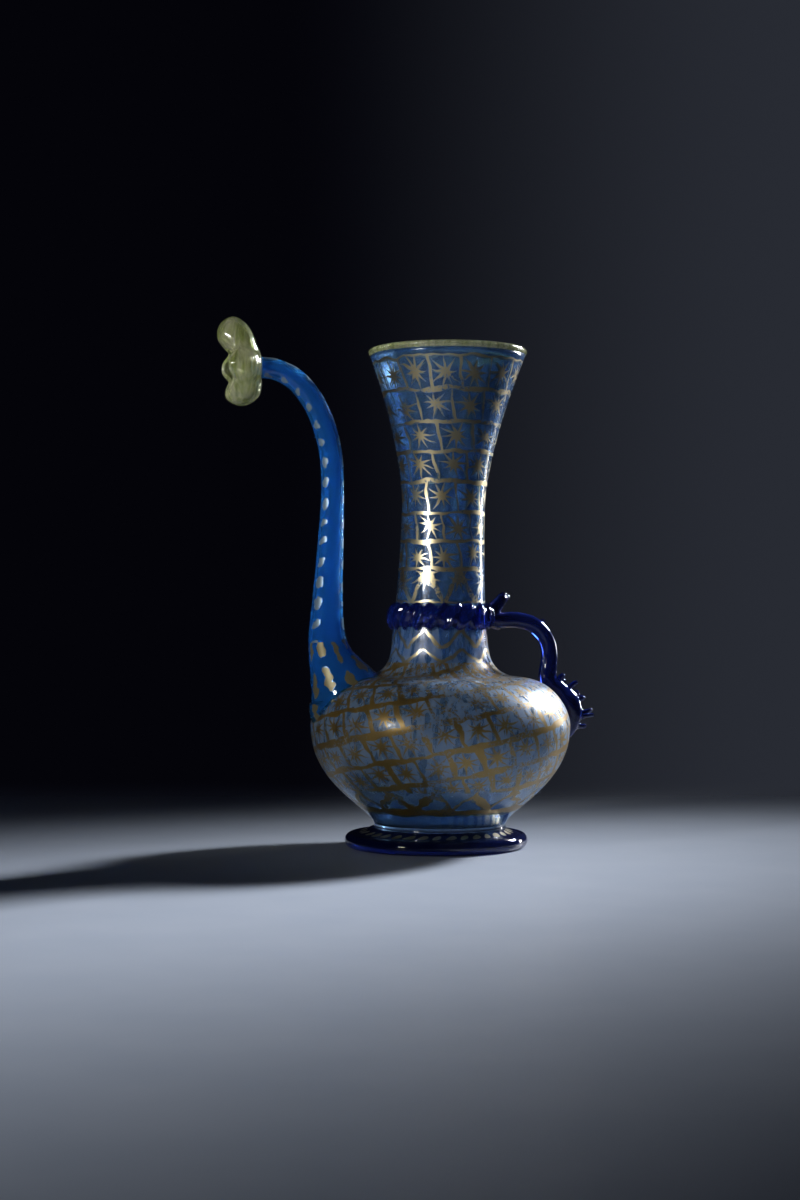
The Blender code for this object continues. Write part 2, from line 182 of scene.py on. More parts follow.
# The gilder's grid: bands from the shoulder up at these heights, and rows of equal height down the belly
BANDS_Z = (0.0885, 0.0950, 0.1047, 0.1166, 0.1325, 0.1457, 0.1589, 0.1738, 0.1880, 0.2014, 0.2166, 0.2320)
BELLY_ROW = 0.0140
BELLY_COLUMNS = 26
BELLY_RISE = -5
ZIGZAGS = 8
BORDER_Z = 0.0198
BORDER_TEETH = 15
BORDER_TOOTH_H = 0.0080
BARE_BELOW_Z = 0.0300
BODY_SIDES = 192


def gilding_row(z):
    """Which row of the gilder's grid a height falls in, counted up from the shoulder and down the belly."""
    if z > BANDS_Z[-1]:
        return len(BANDS_Z) - 1 + (z - BANDS_Z[-1]) / BELLY_ROW
    if z > BANDS_Z[0]:
        return float(np.interp(z, BANDS_Z, range(len(BANDS_Z))))
    down = np.interp((BANDS_Z[0], z), fine_outline[:, 1], fine_length)
    return float(down[1] - down[0]) / BELLY_ROW


outside = body_outline(0.0014)
inside = offset_outline(outside, -WALL)
# The inside stops a little above the seat, where the floor's dish takes over
inside = inside[inside[:, 1] > SEAT_Z + WALL * 1.6]
inside[-1, 1] = RIM_Z - WALL * 0.2
rim_middle = (outside[-1] + inside[-1]) / 2 + np.array((0, WALL * 0.12))
floor_steps = [(r, SEAT_Z + WALL + FLOOR_DISH * (1 - (r / inside[0][0]) ** 2))
               for r in np.linspace(0.001, 0.97, 9) * inside[0][0]]
body_profile = [(r, SEAT_Z) for r in np.linspace(0.001, outside[0][0] * 0.96, 6)]
body_profile += [tuple(p) for p in outside]
outside_rings = len(body_profile)
body_profile += [tuple(rim_middle)] + [tuple(p) for p in inside[::-1]] + floor_steps[::-1]


def body_ring(radius, z):
    """One ring of the body, uneven as blown glass is."""
    ring = []
    for turn in around(BODY_SIDES):
        r = radius + hand_wobble(turn, z, BODY_WOBBLE, BODY_SEED) * min(1, radius / 0.01)
        ring.append((lean_x(z) + r * math.cos(turn), r * math.sin(turn), z))
    return ring


body = loft(
    "glass_body", [body_ring(r, z) for r, z in body_profile], close_ends=(0, -1),
    uv={
        "grid": lambda turn, ring: (turn, gilding_row(body_profile[ring][1])),
        "girth": lambda turn, ring: (math.tau * body_profile[ring][0], body_profile[ring][1]),
    },
    material_of=lambda ring: 0 if -1 < ring < outside_rings else 1,
)

# The hole pierced through the shoulder under the spout, before the spout went on
HOLE_R = 0.0080
HOLE_Z = 0.0755
hole_way = outward(HOLE_Z)
bpy.ops.mesh.primitive_cylinder_add(vertices=48, radius=HOLE_R, depth=6 * WALL,
                                    location=(lean_x(HOLE_Z) - outer_r(HOLE_Z), 0, HOLE_Z),
                                    rotation=(0, -math.atan2(hole_way[0], hole_way[1]), 0))
cut_away(body, bpy.context.object)


def srgb(code):
    """A colour from its sRGB hex value, turned to linear."""
    parts = [int(code[i:i + 2], 16) / 255 for i in (1, 3, 5)]
    return (*[p / 12.92 if p <= 0.04045 else ((p + 0.055) / 1.055) ** 2.4 for p in parts], 1.0)


def new_material(name):
    """A material with a Principled shader, and its node tree."""
    material = bpy.data.materials.new(name)
    material.use_nodes = True
    return material, material.node_tree, material.node_tree.nodes["Principled BSDF"]


def feed(tree, node, inputs):
    """Give a node or shader its inputs: each a number, a colour, a socket, or a node for its first output."""
    for key, value in inputs.items() if isinstance(inputs, dict) else enumerate(inputs):
        if isinstance(value, bpy.types.Node):
            value = value.outputs[0]
        if isinstance(value, bpy.types.NodeSocket):
            tree.links.new(value, node.inputs[key])
        else:
            node.inputs[key].default_value = value


def put(tree, kind, inputs=(), **settings):
    """Add a node with its settings and inputs."""
    made = tree.nodes.new("ShaderNode" + kind)
    for name, value in settings.items():
        setattr(made, name, value)
    feed(tree, made, inputs)
    return made


def spacing(wide, tall):
    """The texture scale for marks of a real size across and up the glass, in millimetres."""
    return 1000 / wide, 1000 / wide, 1000 / tall


def hand_shake(tree, place, size, roughness):
    """The unsteadiness of a painter's hand in three directions, in waves of a size in millimetres."""
    waves = put(tree, "TexNoise", {"Vector": place, "Scale": 1000 / size, "Detail": 2.0,
                                   "Roughness": roughness})
    waves = put(tree, "VectorMath", (waves.outputs["Color"], (0.5, 0.5, 0.5)), operation="SUBTRACT")
    return put(tree, "SeparateXYZ", (waves,))


def off_middle(tree, count):
    """How far a place is from the middle of its step in a count of steps, from -0.5 to 0.5."""
    return put(tree, "Math", (put(tree, "Math", (count,), operation="FRACT"), 0.5), operation="SUBTRACT")


GLASS_IOR = 1.5
# Real sizes of the marks in the gold and the glass, in millimetres
TREMOR_MM = 10.526
WEAR_PATCH_MM = 29.412
WEAR_SPECK_MM = 1.1111
FILM_STREAK_MM = 3.3333, 16.667
FILM_CLOUD_MM = 22.222
DEPTH_CLOUD_MM = 62.5
TOOL_RIPPLE_MM = 16.667, 45.455
# Between these heights the film fades up the neck, ends inside the shoulder, and starts above the foot
FADE_Z = 0.097, 0.118
INSIDE_FADE_Z = 0.080, 0.098
BARE_FOOT_Z = 0.018, 0.040
# The stars: their rays, and how far one may sit off the middle of its cell
STAR_RAYS = 9
STAR_OFF = 0.07
# Metres that one row of a zigzag stands for, measured square to its strokes
ZIGZAG_ROW = 0.0067
WORN_BELOW = 0.40


def gilded_blown_glass():
    """Cobalt-tinted soda glass, free-blown and fire-polished, with powdered gold painted on and fired.
    The glass gives the eye a see-through grey-blue with sharp highlights, whitened by streaks of weathering.
    The gold has a soft shine on the neck and is worn to a dull ochre on the belly."""
    material, tree, shader = new_material("gilded_blown_cobalt_glass")
    place = put(tree, "TexCoord").outputs["Object"]

    # Where the brush is in the grid, with the unsteadiness of a hand
    grid = put(tree, "SeparateXYZ", (put(tree, "UVMap", uv_map="grid"),))
    girth = put(tree, "SeparateXYZ", (put(tree, "UVMap", uv_map="girth"),))
    turn = grid.outputs[0]
    height = girth.outputs[1]
    neck = put(tree, "Math", (grid.outputs[1], 0.0), operation="GREATER_THAN")
    belly = put(tree, "Math", (1.0, neck), operation="SUBTRACT")
    shake = hand_shake(tree, place, TREMOR_MM, 0.55)
    rise = put(tree, "Math", (belly, BELLY_RISE), operation="MULTIPLY")
    row = put(tree, "Math", (turn, rise, grid.outputs[1]), operation="MULTIPLY_ADD")
    row = put(tree, "Math", (shake.outputs[0], 0.30, row), operation="MULTIPLY_ADD")
    number = put(tree, "Math", (row,), operation="FLOOR")
    up = off_middle(tree, row)
    row_id = put(tree, "Math", (number, abs(BELLY_RISE)), operation="FLOORED_MODULO")

    # What the gilder put in each row: a zigzag on both sides of the collar, stars above and below
    zigzag = put(tree, "Math", (put(tree, "Math", (number, 1.5, 1.6), operation="COMPARE"), neck),
                 operation="MULTIPLY")
    collar_row = put(tree, "Math", (number, 2.0, 0.5), operation="COMPARE")
    under_collar = put(tree, "Math", (number, 2.5), operation="LESS_THAN")
    bare_rim = put(tree, "Math", (number, 10.5), operation="GREATER_THAN")
    low_belly = put(tree, "Math", (height, BARE_BELOW_Z), operation="LESS_THAN")

    # Columns: fewer where the neck is slim, none of them in line with the next row's
    more = put(tree, "Math", (number, 8.0), operation="SUBTRACT")
    more = put(tree, "Math", (more, 0.0), operation="MAXIMUM")
    neck_columns = put(tree, "Math", (put(tree, "Math", (more, 2.5, 9.0), operation="MULTIPLY_ADD"),),
                       operation="FLOOR")
    columns = put(tree, "Mix", {0: neck, 2: BELLY_COLUMNS, 3: neck_columns})
    columns = put(tree, "Mix", {0: zigzag, 2: columns, 3: ZIGZAGS})
    row_chance = put(tree, "TexWhiteNoise", {"W": row_id}, noise_dimensions="1D")
    shift = put(tree, "Mix", {0: zigzag, 2: row_chance, 3: 0.25})
    along = put(tree, "Math", (turn, columns, shift), operation="MULTIPLY_ADD")
    plain = put(tree, "Math", (1.0, zigzag), operation="SUBTRACT")
    slant = put(tree, "Math", (put(tree, "Mix", {0: neck, 2: 0.42, 3: 0.18}), plain), operation="MULTIPLY")
    along = put(tree, "Math", (up, slant, along), operation="MULTIPLY_ADD")
    along = put(tree, "Math", (shake.outputs[1], 0.26, along), operation="MULTIPLY_ADD")
    column = put(tree, "Math", (along,), operation="FLOOR")
    across = off_middle(tree, along)
    aside = put(tree, "Math", (across,), operation="ABSOLUTE")
    column_id = put(tree, "Math", (column, columns), operation="FLOORED_MODULO")
    cell = put(tree, "CombineXYZ", (column_id, row_id, neck))
    chance = put(tree, "SeparateXYZ", (put(tree, "TexWhiteNoise", {"Vector": cell}).outputs["Color"],))

    # Lines between the cells, measured in metres from the nearest edge
    thin = put(tree, "Mix", {0: neck, 2: 0.0007, 3: 0.0005})
    thick = put(tree, "Mix", {0: neck, 2: 0.0021, 3: 0.0013})
    brush = put(tree, "MapRange", {"Value": shake.outputs[2], "From Min": -0.2, "From Max": 0.2,
                                   "To Min": thin, "To Max": thick})
    band_far = put(tree, "Math", (put(tree, "Math", (up,), operation="ABSOLUTE"), -BELLY_ROW, BELLY_ROW / 2),
                   operation="MULTIPLY_ADD")
    cell_width = put(tree, "Math", (girth.outputs[0], columns), operation="DIVIDE")
    side_far = put(tree, "Math", (0.5, aside), operation="SUBTRACT")
    side_far = put(tree, "Math", (side_far, cell_width, 0.0003), operation="MULTIPLY_ADD")
    side_far = put(tree, "Math", (zigzag, 1.0, side_far), operation="MULTIPLY_ADD")
    edge_far = put(tree, "Math", (band_far, side_far), operation="MINIMUM")
    # No band between the two lower zigzags, at the collar or on the lowest belly
    hidden = put(tree, "Math", (zigzag, under_collar), operation="MULTIPLY")
    hidden = put(tree, "Math", (put(tree, "Math", (hidden, bare_rim), operation="MAXIMUM"), low_belly),
                 operation="MAXIMUM")
    edge_far = put(tree, "Math", (hidden, 1.0, edge_far), operation="MULTIPLY_ADD")
    tooth = put(tree, "Math", (aside, 2.0, put(tree, "Math", (up, 0.5), operation="ADD")),
                operation="MULTIPLY_ADD")
    tooth = put(tree, "Math", (put(tree, "Math", (tooth, 1.0), operation="SUBTRACT"),), operation="ABSOLUTE")
    tooth_far = put(tree, "Math", (tooth, ZIGZAG_ROW), operation="MULTIPLY")
    toothless = put(tree, "Math", (plain, collar_row), operation="MAXIMUM")
    tooth_far = put(tree, "Math", (toothless, 1.0, tooth_far), operation="MULTIPLY_ADD")
    edge_far = put(tree, "Math", (edge_far, tooth_far), operation="MINIMUM")
    # The border under the belly: one line round it, with a zigzag on top
    border_far = put(tree, "Math", (put(tree, "Math", (height, BORDER_Z), operation="SUBTRACT"),),
                     operation="ABSOLUTE")
    border_tooth = put(tree, "Math", (turn, BORDER_TEETH, shake.outputs[1]), operation="MULTIPLY_ADD")
    border_tooth = put(tree, "Math", (border_tooth, 0.5), operation="PINGPONG")
    border_tooth = put(tree, "Math", (border_tooth, 2 * BORDER_TOOTH_H, BORDER_Z + 0.001),
                       operation="MULTIPLY_ADD")
    border_tooth = put(tree, "Math", (put(tree, "Math", (height, border_tooth), operation="SUBTRACT"),),
                       operation="ABSOLUTE")
    border_far = put(tree, "Math", (border_far, border_tooth), operation="MINIMUM")
    edge_far = put(tree, "Math", (edge_far, border_far), operation="MINIMUM")
    lines = put(tree, "Math", (brush, edge_far), operation="SUBTRACT")

    # A star in each cell: a long blob with tapering rays
    star_x = put(tree, "Math", (across, STAR_OFF), operation="SUBTRACT")
    star_x = put(tree, "Math", (chance.outputs[0], 2 * STAR_OFF, star_x), operation="MULTIPLY_ADD")
    star_y = put(tree, "Math", (up, STAR_OFF), operation="SUBTRACT")
    star_y = put(tree, "Math", (chance.outputs[1], 2 * STAR_OFF, star_y), operation="MULTIPLY_ADD")
    star_y = put(tree, "Math", (zigzag, -0.16, star_y), operation="MULTIPLY_ADD")
    angle = put(tree, "Math", (star_y, star_x), operation="ARCTAN2")
    first_ray = put(tree, "Math", (chance.outputs[2], STAR_RAYS), operation="MULTIPLY")
    rays = put(tree, "Math", (angle, STAR_RAYS / math.tau, first_ray), operation="MULTIPLY_ADD")
    ray_number = put(tree, "Math", (rays,), operation="FLOOR")
    ray_off = off_middle(tree, rays)
    ray_id = put(tree, "Math", (ray_number, STAR_RAYS), operation="FLOORED_MODULO")
    ray_chance = put(tree, "TexWhiteNoise", {"Vector": cell, "W": ray_id}, noise_dimensions="4D")
    star_at = put(tree, "CombineXYZ", (star_x, star_y))
    far = put(tree, "VectorMath", (star_at,), operation="LENGTH").outputs["Value"]
    reach = put(tree, "MapRange", {"Value": ray_chance, "To Min": 0.36, "To Max": 0.58})
    beside = put(tree, "Math", (put(tree, "Math", (ray_off,), operation="ABSOLUTE"), far),
                 operation="MULTIPLY")
    beside = put(tree, "Math", (beside, math.tau / STAR_RAYS), operation="MULTIPLY")
    taper = put(tree, "Math", (put(tree, "Math", (far, reach), operation="DIVIDE"), -0.062, 0.064),
                operation="MULTIPLY_ADD")
    ray = put(tree, "Math", (taper, beside), operation="SUBTRACT")
    core = put(tree, "CombineXYZ", (star_x, put(tree, "Math", (star_y, 0.62), operation="MULTIPLY")))
    blob = put(tree, "Math", (0.095, put(tree, "VectorMath", (core,), operation="LENGTH").outputs["Value"]),
               operation="SUBTRACT")
    star = put(tree, "Math", (ray, blob), operation="MAXIMUM")
    star = put(tree, "Math", (star, BELLY_ROW), operation="MULTIPLY")
    star = put(tree, "Math", (put(tree, "Math", (hidden, collar_row), operation="MAXIMUM"), -1.0, star),
               operation="MULTIPLY_ADD")
    painted = put(tree, "Math", (lines, star), operation="MAXIMUM")
    stroke = put(tree, "MapRange", {"Value": painted, "From Min": -0.00012, "From Max": 0.00016})

    # Worn paint: thin in patches, gone in specks
    patches = put(tree, "TexNoise", {"Vector": place, "Scale": 1000 / WEAR_PATCH_MM, "Detail": 3.0,
                                     "Roughness": 0.6})
    specks = put(tree, "TexNoise", {"Vector": place, "Scale": 1000 / WEAR_SPECK_MM, "Detail": 2.0,
                                    "Roughness": 0.6})
    wear = put(tree, "Math", (specks, 0.45), operation="MULTIPLY")
    wear = put(tree, "Math", (patches, 0.55, wear), operation="MULTIPLY_ADD")
    kept = put(tree, "Math", (put(tree, "Math", (wear, WORN_BELOW), operation="SUBTRACT"), 14.0),
               operation="MULTIPLY", use_clamp=True)
    gold = put(tree, "Math", (stroke, kept), operation="MULTIPLY")

    # Streaks of white weathering, drawn out as the glass was turned and blown
    drawn = put(tree, "Mapping", {"Vector": place, "Rotation": (0.5, 0.35, 0),
                                  "Scale": spacing(*FILM_STREAK_MM)})
    streaks = put(tree, "TexNoise", {"Vector": drawn, "Scale": 1.0, "Detail": 4.0, "Roughness": 0.6,
                                     "Distortion": 0.4})
    film = put(tree, "MapRange", {"Value": streaks, "From Min": 0.25, "From Max": 0.75})
    fade = put(tree, "MapRange", {"Value": height, "From Min": FADE_Z[0], "From Max": FADE_Z[1],
                                  "To Min": 1.15, "To Max": 0.5})
    bare_foot = put(tree, "MapRange", {"Value": height, "From Min": BARE_FOOT_Z[0],
                                       "From Max": BARE_FOOT_Z[1], "To Min": 0.2})
    film = put(tree, "Math", (put(tree, "Math", (film, fade), operation="MULTIPLY"), bare_foot),
               operation="MULTIPLY")

    depth = put(tree, "TexNoise", {"Vector": place, "Scale": 1000 / DEPTH_CLOUD_MM, "Detail": 2.0})
    belly_tone = put(tree, "Mix", {0: depth, 6: srgb("#82b4e8"), 7: srgb("#a4cbf2")}, data_type="RGBA")
    neck_tone = put(tree, "Mix", {0: depth, 6: srgb("#5a97df"), 7: srgb("#86bbf0")}, data_type="RGBA")
    glass = put(tree, "Mix", {0: neck, 6: belly_tone.outputs[2], 7: neck_tone.outputs[2]}, data_type="RGBA")
    haze = put(tree, "Math", (put(tree, "Math", (film, film), operation="MULTIPLY"), 0.6),
               operation="MULTIPLY")
    glass = put(tree, "Mix", {0: haze, 6: glass.outputs[2], 7: srgb("#c9d2dc")}, data_type="RGBA")
    bright = put(tree, "Mix", {0: patches, 6: srgb("#c2ab74"), 7: srgb("#ded2ae")}, data_type="RGBA")
    dull = put(tree, "Mix", {0: patches, 6: srgb("#8e7436"), 7: srgb("#d2ab58")}, data_type="RGBA")
    gold_tone = put(tree, "Mix", {0: neck, 6: dull.outputs[2], 7: bright.outputs[2]}, data_type="RGBA")
    colour = put(tree, "Mix", {0: gold, 6: glass.outputs[2], 7: gold_tone.outputs[2]}, data_type="RGBA")
    metal = put(tree, "Math", (gold, put(tree, "Mix", {0: neck, 2: 0.25, 3: 0.95})), operation="MULTIPLY")
    gloss = put(tree, "MapRange", {"Value": film, "To Min": 0.05, "To Max": 0.5})
    rough = put(tree, "Mix", {0: gold, 2: gloss, 3: 0.36})
    clear = put(tree, "MapRange", {"Value": film, "To Min": 0.97, "To Max": 0.62})

    # Tool marks as long soft ripples
    ripple = put(tree, "Mapping", {"Vector": place, "Scale": spacing(*TOOL_RIPPLE_MM)})
    ripple = put(tree, "TexNoise", {"Vector": ripple, "Scale": 1.0, "Detail": 3.0})
    bump = put(tree, "Bump", {"Height": ripple, "Strength": 0.35, "Distance": 0.0006})
    feed(tree, shader, {"Base Color": colour.outputs[2], "Metallic": metal, "Roughness": rough,
                        "Transmission Weight": clear, "IOR": GLASS_IOR, "Normal": bump})
    return material


def weathered_inside():
    """The same glass seen from inside, with the silvery film that long burial leaves in the belly.
    It blurs and greys what is seen through it, and it glows where light comes from behind."""
    material, tree, shader = new_material("weathered_cobalt_glass_inside")
    place = put(tree, "TexCoord").outputs["Object"]
    height = put(tree, "SeparateXYZ", (place,)).outputs[2]
    clouds = put(tree, "TexNoise", {"Vector": place, "Scale": 1000 / FILM_CLOUD_MM, "Detail": 5.0,
                                    "Roughness": 0.6})
    low = put(tree, "MapRange", {"Value": height, "From Min": INSIDE_FADE_Z[0],
                                 "From Max": INSIDE_FADE_Z[1], "To Min": 1.0, "To Max": 0.15})
    film = put(tree, "MapRange", {"Value": clouds, "From Min": 0.3, "From Max": 0.7,
                                  "To Min": 0.7, "To Max": 1.0})
    bare_foot = put(tree, "MapRange", {"Value": height, "From Min": BARE_FOOT_Z[0],
                                       "From Max": BARE_FOOT_Z[1], "To Min": 0.25})
    film = put(tree, "Math", (put(tree, "Math", (film, low), operation="MULTIPLY"), bare_foot),
               operation="MULTIPLY")
    colour = put(tree, "Mix", {0: film, 6: srgb("#8cbcf0"), 7: srgb("#e4ebf2")}, data_type="RGBA")
    rough = put(tree, "MapRange", {"Value": film, "To Min": 0.05, "To Max": 0.75})
    clear = put(tree, "MapRange", {"Value": film, "To Min": 1.0, "To Max": 0.72})
    bump = put(tree, "Bump", {"Height": clouds, "Strength": 0.2, "Distance": 0.0004})
    feed(tree, shader, {"Base Color": colour.outputs[2], "Roughness": rough, "Transmission Weight": clear,
                        "IOR": GLASS_IOR, "Normal": bump})
    return material


body.data.materials.clear()
body.data.materials.append(gilded_blown_glass())
body.data.materials.append(weathered_inside())
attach(body, "root")
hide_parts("body")


# Foot
# A second gather of very dark cobalt glass, dropped under the body and tooled out into a thick splayed pad.
# A row of slanted gilt dabs runs round its top.

FOOT_H = SEAT_Z - 0.0003
FOOT_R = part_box("foot")[1].x
FOOT_EDGE_H = 0.0066
FOOT_TOP_R = 0.0325
FOOT_SIDES = 160
FOOT_WOBBLE = 0.00045
FOOT_SEED = 9.4
# The dabs: how many, the middle of their ring, half of one's length, and how fast they slant on outwards
DABS = 34
DAB_RING_R = 0.0352
DAB_HALF = 0.0021
DAB_SLANT = 90.0
DAB_TREMOR_MM = 6.6667
TINT_CLOUD_MM = 16.667
FIRE_RIPPLE_MM = 3.8462

foot_depth = FOOT_EDGE_H * 0.42
shelf = (FOOT_R - foot_depth, FOOT_EDGE_H)
foot_profile = [(r, FOOT_H + 0.0004) for r in np.linspace(0.001, FOOT_TOP_R * 0.93, 5)]
foot_profile += [tuple(p) for p in bezier(
    (FOOT_TOP_R * 0.97, FOOT_H + 0.0004), (FOOT_TOP_R * 1.05, FOOT_EDGE_H + 0.0009),
    (shelf[0] - 0.45 * (shelf[0] - FOOT_TOP_R), FOOT_EDGE_H), shelf, 14)]
for degrees in range(82, -83, -8):
    angle = math.radians(degrees)
    foot_profile.append((FOOT_R - foot_depth * (1 - math.cos(angle)),
                         FOOT_EDGE_H / 2 * (1 + math.sin(angle))))
foot_profile += [(FOOT_R - foot_depth * 1.1, 0), (0.02, 0), (0.001, 0)]

foot_rings = []
for radius, z in foot_profile:
    ring = []
    for turn in around(FOOT_SIDES):
        r = radius + hand_wobble(turn, z, FOOT_WOBBLE, FOOT_SEED) * min(1, radius / 0.02)
        ring.append((r * math.cos(turn), r * math.sin(turn), z))
    foot_rings.append(ring)
foot = loft("glass_foot", foot_rings, close_ends=(0, -1), uv={
    "dabs": lambda turn, ring: (turn, foot_profile[ring][0] if foot_profile[ring][1] > 0.001 else 0)})


def dark_cobalt_glass(name, dabs=False):
    """Soda glass with so much cobalt that it reads as near-black navy, fire-polished.
    It gives the eye small sharp highlights, and blue only where light crosses a thin edge."""
    material, tree, shader = new_material(name)
    place = put(tree, "TexCoord").outputs["Object"]
    tint = put(tree, "TexNoise", {"Vector": place, "Scale": 1000 / TINT_CLOUD_MM, "Detail": 2.0})
    glass = put(tree, "Mix", {0: tint, 6: srgb("#141f74"), 7: srgb("#2d47b4")}, data_type="RGBA")
    ripple = put(tree, "TexNoise", {"Vector": place, "Scale": 1000 / FIRE_RIPPLE_MM, "Detail": 3.0})
    bump = put(tree, "Bump", {"Height": ripple, "Strength": 0.35, "Distance": 0.0006})
    feed(tree, shader, {"Transmission Weight": 0.85, "IOR": GLASS_IOR, "Normal": bump})
    if not dabs:
        feed(tree, shader, {"Base Color": glass.outputs[2], "Roughness": 0.06})
        return material
    # Slanted dabs of gold on the shelf of the foot, one every 6.5 mm
    at = put(tree, "SeparateXYZ", (put(tree, "UVMap", uv_map="dabs"),))
    shake = put(tree, "TexNoise", {"Vector": place, "Scale": 1000 / DAB_TREMOR_MM, "Detail": 1.0})
    out = put(tree, "Math", (at.outputs[1], DAB_RING_R), operation="SUBTRACT")
    slant = put(tree, "Math", (out, DAB_SLANT), operation="MULTIPLY")
    slant = put(tree, "Math", (at.outputs[0], DABS, slant), operation="MULTIPLY_ADD")
    slant = put(tree, "Math", (shake, 0.5, slant), operation="MULTIPLY_ADD")
    step = off_middle(tree, slant)
    dab = put(tree, "CombineXYZ", (put(tree, "Math", (step, 3.0), operation="MULTIPLY"),
                                   put(tree, "Math", (out, 1 / DAB_HALF), operation="MULTIPLY")))
    far = put(tree, "VectorMath", (dab,), operation="LENGTH").outputs["Value"]
    gold = put(tree, "MapRange", {"Value": far, "From Min": 1.05, "From Max": 0.9})
    colour = put(tree, "Mix", {0: gold, 6: glass.outputs[2], 7: srgb("#d0caac")}, data_type="RGBA")
    metal = put(tree, "Math", (gold, 0.6), operation="MULTIPLY")
    rough = put(tree, "MapRange", {"Value": gold, "To Min": 0.06, "To Max": 0.42})
    feed(tree, shader, {"Base Color": colour.outputs[2], "Metallic": metal, "Roughness": rough})
    return material


foot.data.materials.append(dark_cobalt_glass("gilded_dark_cobalt_glass", dabs=True))
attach(foot, "root")
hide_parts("foot")


# Spout
# A hollow tube of saturated cobalt glass, pulled to an S and stuck over the hole in the shoulder.
# It flares like a trumpet where it was pressed on, with gilt leaves up its side and tall petals at the root.

SPOUT_WALL = 0.0016
SPOUT_R = 0.00545
SPOUT_LOW_R = 0.0071
SPOUT_ROOT_R = 0.0185
SPOUT_UPRIGHT_X = -0.0506
SPOUT_SPREAD = 0.0060
SPOUT_TOP_Z = 0.2274
SPOUT_END_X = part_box("spout")[0].x
SPOUT_SIDES = 48
LEAF_LINES = 3
LEAF_STEP = 0.0096
PETALS = 9
PETAL_STEP = 0.0150
LEAF_TREMOR_MM = 5.8824
DRAWN_RIPPLE_MM = 11.111
ENVELOPE_STEP = 0.0025
ENVELOPE_SIDES = 96
BELLY_Z = BODY_KNOTS[1][1]
SHOULDER_Z = BODY_KNOTS[2][1]


def smooth_path(stations, steps):
    """A Catmull-Rom curve through stations, each a position with a radius after it."""
    rows = [np.array(s, float) for s in stations]
    rows = [2 * rows[0] - rows[1]] + rows + [2 * rows[-1] - rows[-2]]
    points = [rows[1]]
    for a, b, c, d in zip(rows, rows[1:], rows[2:], rows[3:]):
        for t in np.linspace(0, 1, steps + 1)[1:]:
            points.append(0.5 * (2 * b + (c - a) * t + (2 * a - 5 * b + 4 * c - d) * t * t
                                 + (3 * b - a - 3 * c + d) * t ** 3))
    return np.array(points)


spout_edge = SPOUT_UPRIGHT_X - SPOUT_R - SPOUT_SPREAD
spout_span = SPOUT_TOP_Z - SHOULDER_Z
spout_reach = SPOUT_END_X - SPOUT_UPRIGHT_X
spout_stations = [(spout_edge + SPOUT_ROOT_R * 1.12, BELLY_Z - SPOUT_ROOT_R * 0.11, SPOUT_ROOT_R * 0.88),
                  (spout_edge + SPOUT_ROOT_R * 1.05, BELLY_Z + SPOUT_ROOT_R * 0.38, SPOUT_ROOT_R)]
flare_r = SPOUT_ROOT_R * 0.72
for share, radius in ((-0.055, SPOUT_ROOT_R * 0.98), (-0.02, SPOUT_ROOT_R * 0.87), (0.02, flare_r),
                      (0.07, SPOUT_LOW_R + 0.55 * (flare_r - SPOUT_LOW_R)), (0.14, SPOUT_LOW_R * 1.22)):
    spout_stations.append((spout_edge + radius, SHOULDER_Z + share * spout_span, radius))
spout_stations += [
    (SPOUT_UPRIGHT_X - SPOUT_R * 0.42, SHOULDER_Z + 0.27 * spout_span, SPOUT_LOW_R),
    (SPOUT_UPRIGHT_X - SPOUT_R * 0.18, SHOULDER_Z + 0.43 * spout_span,
     SPOUT_R + 0.45 * (SPOUT_LOW_R - SPOUT_R)),
    (SPOUT_UPRIGHT_X, SHOULDER_Z + 0.60 * spout_span, SPOUT_R),
    (SPOUT_UPRIGHT_X - SPOUT_R * 0.22, SHOULDER_Z + 0.74 * spout_span, SPOUT_R),
    (SPOUT_UPRIGHT_X + 0.20 * spout_reach, SHOULDER_Z + 0.866 * spout_span, SPOUT_R),
    (SPOUT_UPRIGHT_X + 0.47 * spout_reach, SHOULDER_Z + 0.955 * spout_span, SPOUT_R * 0.96),
    (SPOUT_UPRIGHT_X + 0.76 * spout_reach, SPOUT_TOP_Z - SPOUT_R * 0.18, SPOUT_R * 0.93),
    (SPOUT_END_X, SPOUT_TOP_Z, SPOUT_R * 0.92),
]


def tube_rings(path, sides, extra=0.0):
    """Rings square to a path in the XZ plane, each point of it x, z and radius."""
    along = np.gradient(path[:, :2], axis=0)
    along /= np.linalg.norm(along, axis=1)[:, None]
    rings = []
    for (x, z, radius), (ax, az) in zip(path, along):
        ring = []
        for turn in around(sides):
            side = (radius + extra) * math.cos(turn)
            ring.append((x - az * side, (radius + extra) * math.sin(turn), z + ax * side))
        rings.append(ring)
    return rings


spout_path = smooth_path(spout_stations, 8)
spout_length = np.concatenate(([0], np.cumsum(np.linalg.norm(np.diff(spout_path[:, :2], axis=0), axis=1))))
# How far up the tube the flared root reaches, along its middle
ROOT_LENGTH = float(np.interp(SHOULDER_Z + 0.12 * spout_span, spout_path[:, 1], spout_length))
spout = loft("glass_spout", tube_rings(spout_path, SPOUT_SIDES), close_ends=(0, -1),
             uv={"leaves": lambda turn, ring: (turn, spout_length[ring])})
bore_path = np.vstack([spout_path, spout_path[-1] + (-4 * SPOUT_WALL, 0, 0)])
bore = loft("spout_bore", tube_rings(bore_path, SPOUT_SIDES, -SPOUT_WALL), close_ends=(0, -1),
            material_of=lambda ring: 1)


def envelope(name, growth):
    """The body's outside as a solid block, for cutting what sits on it."""
    points = offset_outline(body_outline(ENVELOPE_STEP), growth)
    rings = [[(lean_x(z) + r * math.cos(turn), r * math.sin(turn), z) for turn in around(ENVELOPE_SIDES)]
             for r, z in points]
    return loft(name, rings, close_ends=(0, -1))


